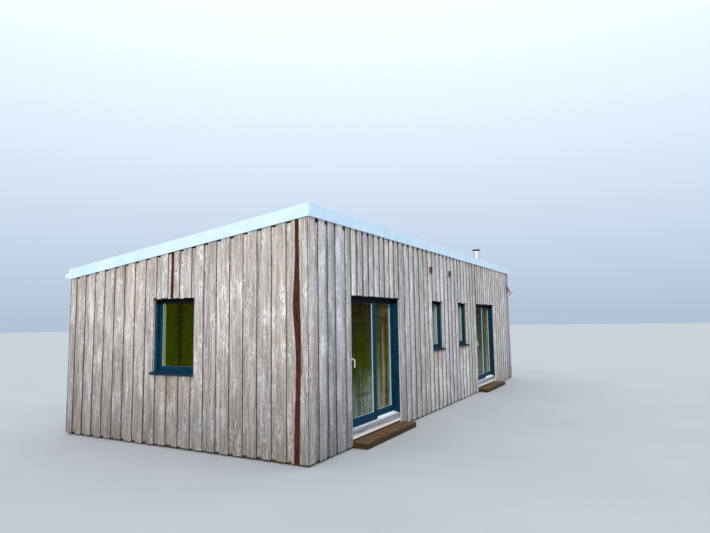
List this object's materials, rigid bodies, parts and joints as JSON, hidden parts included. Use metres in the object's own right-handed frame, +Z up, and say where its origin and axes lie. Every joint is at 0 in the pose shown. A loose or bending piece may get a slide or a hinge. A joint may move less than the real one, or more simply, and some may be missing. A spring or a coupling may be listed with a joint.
{
  "type": "timber-clad cabin",
  "caption": "Single-storey cabin clad in weathered vertical boards, with a shallow single-pitch roof, blue framed sliding glazed doors and narrow windows.",
  "frame": {"origin": "centre of the cabin's plan over the cladding, on the ground under the middle timber of the base frame", "axes": "+X along the front from the left end to the right end, +Y from the front to the back, +Z up"},
  "size_m": [12.384, 5.755, 4.2152],
  "materials": {
    "base_timber": "dark treated sawn timber",
    "floor_boards": "matt boards",
    "weathered_timber": "silver-grey weathered boards",
    "roof_deck": "plain deck and lining",
    "coated_steel": "matt coated ribbed panels",
    "white_trim": "white coated folded metal",
    "white_plastic": "white rainwater goods",
    "glass": "clear sealed units",
    "handle_metal": "satin",
    "track_aluminium": "satin",
    "blue_coated_frame": "satin petrol blue",
    "blue_sill": "satin petrol blue",
    "vent_plastic": "brown louvres",
    "step_timber": "brown sawn sleeper",
    "flue_steel": "weathered stainless",
    "lamp_metal": "pale coated"
  },
  "bodies": {
    "hut": {"base_frame": "base_timber", "floor_deck": "floor_boards", "front_wall_left": "weathered_timber", "front_wall_over_door_1": "weathered_timber", "front_wall_middle": "weathered_timber", "front_wall_over_door_2": "weathered_timber", "front_wall_right": "weathered_timber", "rear_wall": "weathered_timber", "left_end_wall": "weathered_timber", "right_end_wall": "weathered_timber", "roof_deck": "roof_deck", "roof_panels": "coated_steel", "front_trim": "white_trim", "rear_trim": "white_trim", "left_trim": "white_trim", "right_trim": "white_trim", "gutter": "white_plastic", "downpipe": "white_plastic", "door_1_frame": "blue_coated_frame", "door_1_fixed_leaf": "blue_coated_frame", "door_2_frame": "blue_coated_frame", "door_2_fixed_leaf": "blue_coated_frame", "fixed_door_glass": "glass", "door_tracks": "track_aluminium", "cill_boards": "weathered_timber", "narrow_window_1_frame": "blue_coated_frame", "narrow_window_2_frame": "blue_coated_frame", "left_window_frame": "blue_coated_frame", "right_window_frame": "blue_coated_frame", "window_glass": "glass", "window_sills": "blue_sill", "wall_vents": "vent_plastic", "step_1": "step_timber", "step_2": "step_timber", "flue_pipe": "flue_steel", "flue_cap": "flue_steel", "flue_collar": "flue_steel", "lamp_bracket": "lamp_metal", "lamp_head": "lamp_metal"},
    "door_1": {"door_1_sliding_leaf": "blue_coated_frame", "door_1_sliding_glass": "glass", "door_1_handle": "handle_metal"},
    "door_2": {"door_2_sliding_leaf": "blue_coated_frame", "door_2_sliding_glass": "glass", "door_2_handle": "handle_metal"}
  },
  "joints": [
    {"name": "door_1_slide", "type": "slide", "parent": "hut", "child": "door_1", "axis": [1, 0, 0], "range_m": [0, 0.8]},
    {"name": "door_2_slide", "type": "slide", "parent": "hut", "child": "door_2", "axis": [1, 0, 0], "range_m": [0, 0.8]}
  ]
}
